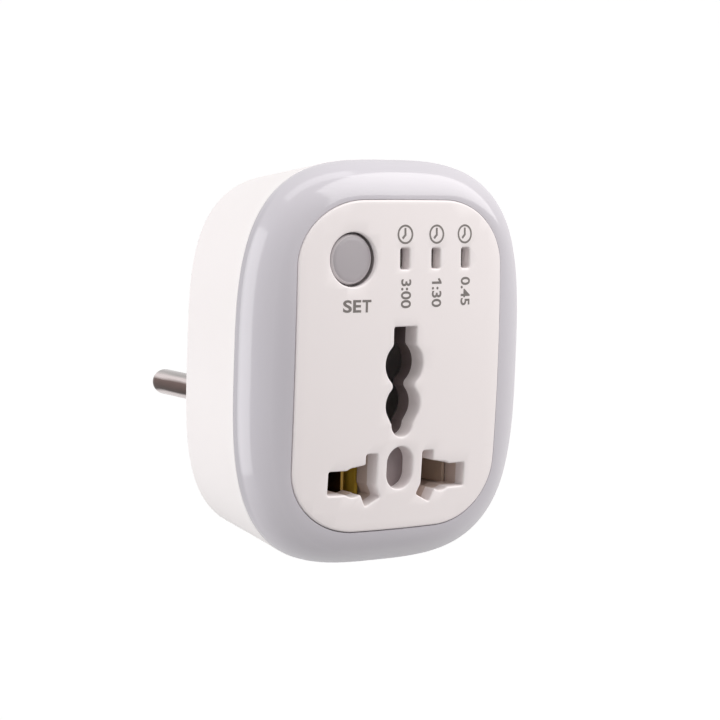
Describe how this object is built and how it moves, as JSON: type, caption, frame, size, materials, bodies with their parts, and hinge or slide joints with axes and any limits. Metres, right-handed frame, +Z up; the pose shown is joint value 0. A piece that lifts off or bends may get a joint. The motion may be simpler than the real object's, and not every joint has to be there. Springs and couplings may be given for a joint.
{
  "type": "plug-in timer switch",
  "caption": "Plug-in countdown timer switch with a multi-standard outlet, SET button, indicator windows and night-light ring in front and a round-pin earthed plug behind.",
  "frame": {"origin": "middle of the plug's flat face, between the two pins, where the face meets a wall socket's well", "axes": "+Y along the pins, towards the wall; +Z up; +X to the right seen from the front"},
  "size_m": [0.0598, 0.0658, 0.0706],
  "materials": {
    "panel_plastic": "fine satin, warm white",
    "diffuser_plastic": "translucent satin, pale lilac grey",
    "shell_plastic": "semi-gloss white",
    "core_plastic": "matte grey",
    "nickel_plate": "polished nickel plate on brass",
    "contact_brass": "bare pressed strip",
    "button_plastic": "satin grey",
    "switch_black": "matte black",
    "board_laminate": "green solder mask",
    "chip_black": "matte black",
    "lens_clear": "frosted translucent",
    "led_package": "cream package",
    "board_white": "white solder mask",
    "tinned_wire": "tinned",
    "relay_case": "blue case",
    "film_case": "yellow box",
    "capacitor_sleeve": "dark sleeve",
    "varistor_coat": "blue epoxy",
    "resistor_coat": "green flameproof coat",
    "lead_brown": "brown insulation",
    "lead_blue": "blue insulation",
    "screw_steel": "zinc plated"
  },
  "bodies": {
    "body": {"front_panel": "panel_plastic", "diffuser_ring": "diffuser_plastic", "rear_shell": "shell_plastic", "socket_core": "core_plastic", "live_pin": "nickel_plate", "neutral_pin": "nickel_plate", "earth_strap": "nickel_plate", "live_contact": "contact_brass", "neutral_contact": "contact_brass", "earth_contact": "contact_brass", "push_switch": "switch_black", "main_board": "board_laminate", "timer_chip": "chip_black", "indicator_lens": "lens_clear", "indicator_leds": "led_package", "led_board": "board_white", "night_leds": "led_package", "board_links": "tinned_wire", "relay": "relay_case", "film_capacitor": "film_case", "electrolytic_capacitor": "capacitor_sleeve", "varistor": "varistor_coat", "bridge_rectifier": "chip_black", "fuse_resistor": "resistor_coat", "live_lead": "lead_brown", "neutral_lead": "lead_blue", "switched_lead": "lead_brown", "outlet_lead": "lead_blue", "housing_screws": "screw_steel"},
    "button": {"set_button": "button_plastic"},
    "plunger": {"switch_plunger": "switch_black"}
  },
  "joints": [
    {"name": "set_press", "type": "slide", "parent": "body", "child": "button", "axis": [0, 1, 0], "range_m": [0, 0.0005], "stiffness_N_per_m": 800},
    {"name": "plunger_press", "type": "slide", "parent": "body", "child": "plunger", "axis": [0, 1, 0], "range_m": [0, 0.0005]}
  ],
  "couplings": [
    {"joint": "plunger_press", "follows": "set_press", "ratio": 1}
  ]
}
